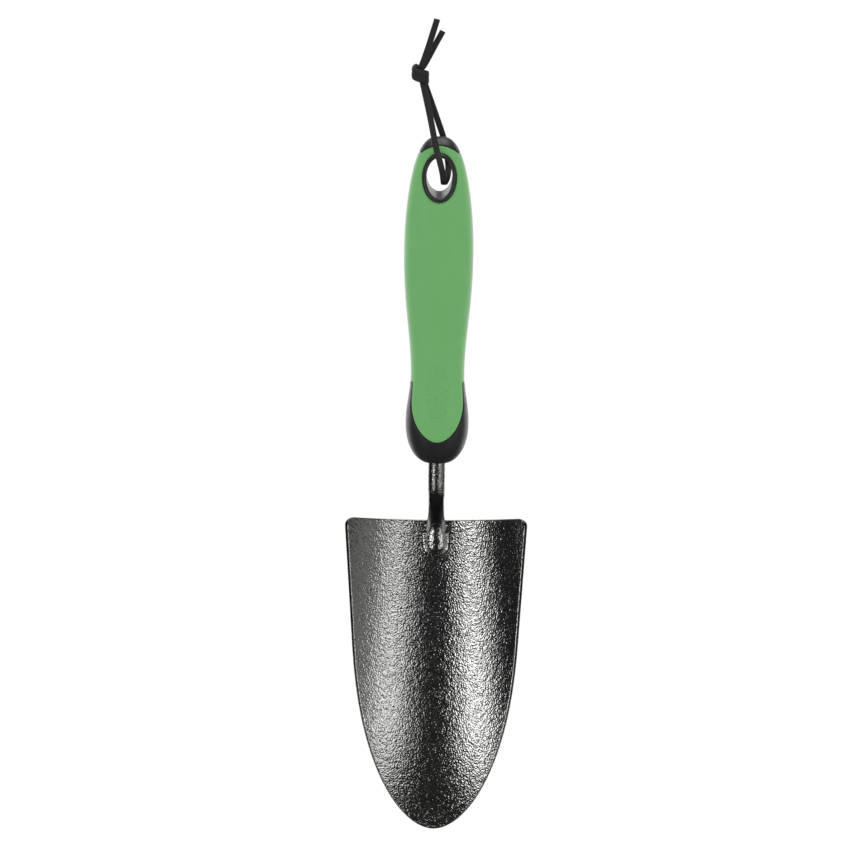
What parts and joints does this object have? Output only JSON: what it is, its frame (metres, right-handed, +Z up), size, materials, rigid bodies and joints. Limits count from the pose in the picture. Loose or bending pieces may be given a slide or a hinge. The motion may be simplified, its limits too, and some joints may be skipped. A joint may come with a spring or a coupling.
{
  "type": "hand trowel",
  "caption": "Garden hand trowel with a dished, pointed steel blade on a cranked tang, a soft-grip moulded handle and a tied hanging lace.",
  "frame": {"origin": "centre of the hang hole's bore, on the handle's axis", "axes": "+Z up along the handle's axis as the tool hangs, -Y the way the blade's hollow side faces, X across the blade"},
  "size_m": [0.085, 0.051, 0.3718],
  "materials": {
    "hammered_steel": "black hammered-effect paint, glossy",
    "black_moulding": "satin moulded plastic",
    "green_grip": "matte soft-touch rubber",
    "black_lace": "dull flat lace"
  },
  "bodies": {
    "lace": {"hang_lace": "black_lace"},
    "trowel": {"blade": "hammered_steel", "tang": "hammered_steel", "weld_bead": "hammered_steel", "handle_core": "black_moulding", "soft_grip": "green_grip"}
  },
  "joints": [
    {"name": "trowel_swing", "type": "hinge", "parent": "lace", "child": "trowel", "pos_m": [0, 0, 0], "axis": [0, 1, 0], "range_deg": [-90, 90]}
  ]
}
